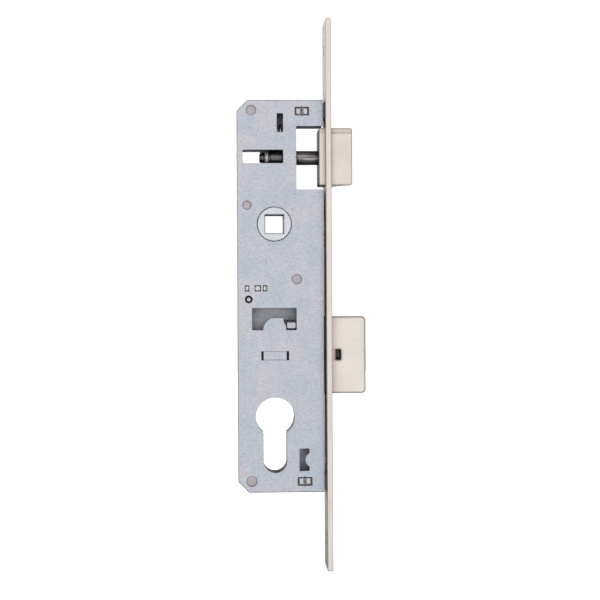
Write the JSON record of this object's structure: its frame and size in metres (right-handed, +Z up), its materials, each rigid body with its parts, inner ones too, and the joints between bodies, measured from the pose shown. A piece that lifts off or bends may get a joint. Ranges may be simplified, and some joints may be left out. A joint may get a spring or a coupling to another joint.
{
  "type": "mortise lock",
  "caption": "Narrow-stile mortise lock: slim case, long square-ended forend, sprung bevelled latch, square-spindle follower, deadbolt and Euro-profile cylinder hole",
  "frame": {"origin": "spindle axis on the middle plane of the case", "axes": "+X to the forend and the way the bolts are thrown, +Y along the spindle to the far side, +Z up"},
  "size_m": [0.0565, 0.022, 0.242],
  "materials": {
    "case_sheet": "zinc-plated sheet, satin, faint rolling marks",
    "forend_steel": "satin nickel, warm",
    "block_steel": "zinc-plated, sawn and staked",
    "rivet_steel": "riveted flush, dull",
    "screw_zinc": "zinc-plated",
    "bright_steel": "bright turned steel",
    "spring_steel": "drawn spring wire",
    "hub_zinc": "sintered and plated, matt",
    "stamped_steel": "stamped plate, oiled",
    "latch_nickel": "satin nickel, warm",
    "bolt_nickel": "satin nickel, warm",
    "dark_steel": "blackened, drawn"
  },
  "bodies": {
    "case": {"case_shell": "case_sheet", "case_cover": "case_sheet", "forend": "forend_steel", "forend_block_top": "block_steel", "forend_block_bottom": "block_steel", "forend_screws": "screw_zinc", "spacer_bar": "block_steel", "stop_pin": "bright_steel", "spring_rod": "bright_steel", "pillar_top": "rivet_steel", "pillar_follower": "rivet_steel", "pillar_middle": "rivet_steel", "pillar_bottom": "rivet_steel", "latch_spring": "spring_steel"},
    "latch": {"latch_head": "latch_nickel", "latch_stem": "dark_steel", "stem_yoke": "stamped_steel", "stem_sleeve": "dark_steel", "stem_washer": "dark_steel", "stem_collar": "bright_steel", "retaining_ring": "dark_steel"},
    "follower": {"follower_hub": "hub_zinc", "follower_arm_near": "stamped_steel", "follower_arm_far": "stamped_steel", "arm_rivets": "rivet_steel"},
    "deadbolt": {"bolt_head": "bolt_nickel", "bolt_tail": "stamped_steel", "bolt_rivets": "rivet_steel", "tumbler_spring": "spring_steel"},
    "tumbler_plate": {"tumbler": "stamped_steel", "tumbler_stump": "bright_steel"}
  },
  "joints": [
    {"name": "latch_slide", "type": "slide", "parent": "case", "child": "latch", "axis": [-1, 0, 0], "range_m": [0, 0.0096], "stiffness_N_per_m": 350, "springref_m": -0.012, "deforming": ["latch_spring"]},
    {"name": "follower_turn", "type": "hinge", "parent": "case", "child": "follower", "pos_m": [0, 0, 0], "axis": [0, -1, 0], "range_deg": [0, 18.5]},
    {"name": "deadbolt_slide", "type": "slide", "parent": "case", "child": "deadbolt", "axis": [-1, 0, 0], "range_m": [0, 0.0151]},
    {"name": "tumbler_lift", "type": "slide", "parent": "deadbolt", "child": "tumbler_plate", "axis": [0, 0, 1], "range_m": [0, 0.0047], "stiffness_N_per_m": 150, "springref_m": -0.004, "deforming": ["tumbler_spring"]}
  ],
  "couplings": [
    {"joint": "follower_turn", "follows": "latch_slide", "rad_per_m": 33.58}
  ]
}
